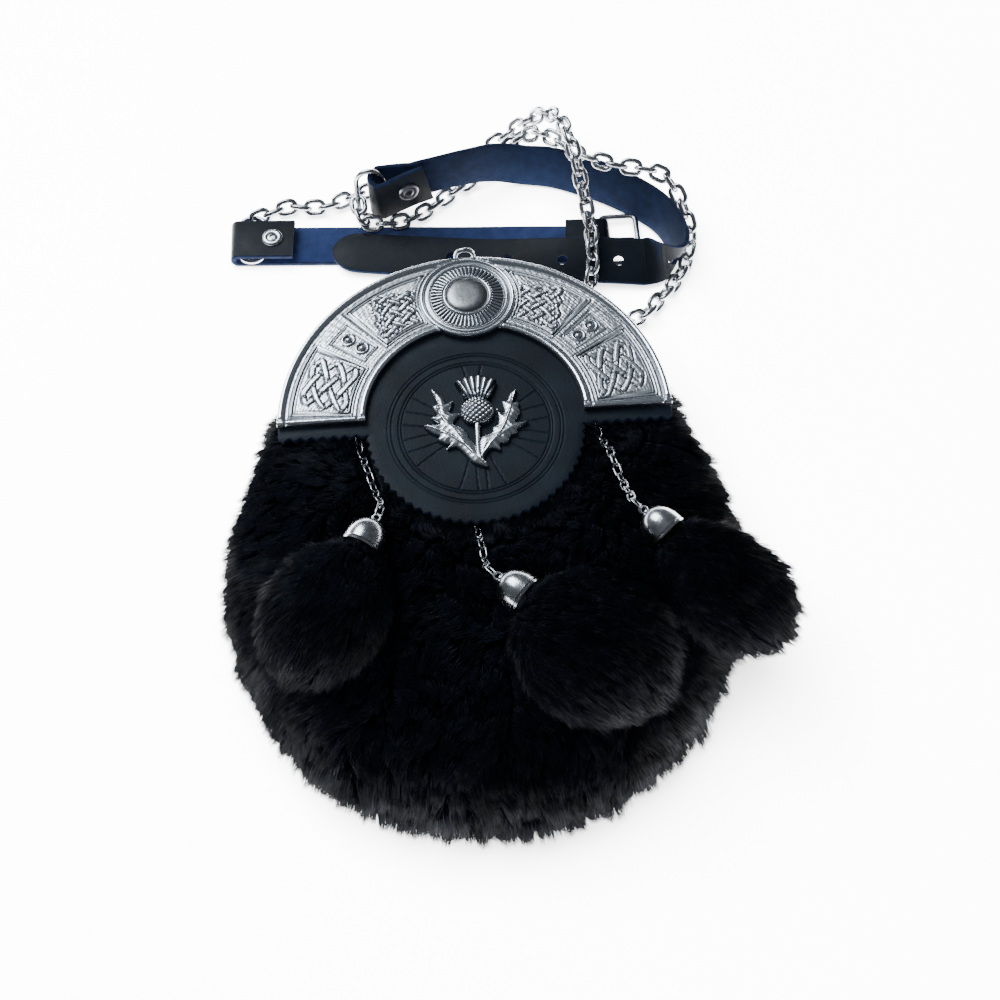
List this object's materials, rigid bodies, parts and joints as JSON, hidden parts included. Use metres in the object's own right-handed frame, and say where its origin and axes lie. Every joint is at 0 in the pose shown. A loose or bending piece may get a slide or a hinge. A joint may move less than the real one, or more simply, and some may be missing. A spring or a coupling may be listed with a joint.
{
  "type": "sporran pouch",
  "caption": "Fur-fronted belt pouch with a cast metal arch, thistle badge, fur tassels on chains, and a leather and chain belt.",
  "frame": {"origin": "point of the pouch's flat back under the centre of the cantle's arcs", "axes": "+Z out of the front, +Y to the pouch's top, +X to the right seen from the front"},
  "size_m": [0.2156, 0.3316, 0.0655],
  "materials": {
    "black_leather": "black grained leather, satin",
    "strap_leather": "black leather with a blue flesh side",
    "silver_casting": "cast silver-coloured metal with darkened ground",
    "chrome": "bright plated wire and pressings",
    "black_fur": "short dense black fur"
  },
  "bodies": {
    "root": {"pouch_shell": "black_leather", "flap": "black_leather", "buckle_strap": "strap_leather", "tongue_strap": "strap_leather", "cantle": "silver_casting", "thistle_badge": "silver_casting", "top_staple": "chrome", "buckle_frame": "chrome", "buckle_prong": "chrome", "rivet_left": "chrome", "rivet_middle": "chrome", "strap_ring_left": "chrome", "strap_ring_middle": "chrome", "back_loop_left": "chrome", "back_loop_right": "chrome", "belt_chain_left": "chrome", "belt_chain_right": "chrome", "tassel_cap_left": "chrome", "tassel_cap_centre": "chrome", "tassel_cap_right": "chrome", "tassel_chain_left": "chrome", "tassel_chain_centre": "chrome", "tassel_chain_right": "chrome", "fur_front": "black_fur", "tassel_left": "black_fur", "tassel_centre": "black_fur", "tassel_right": "black_fur"}
  },
  "joints": []
}
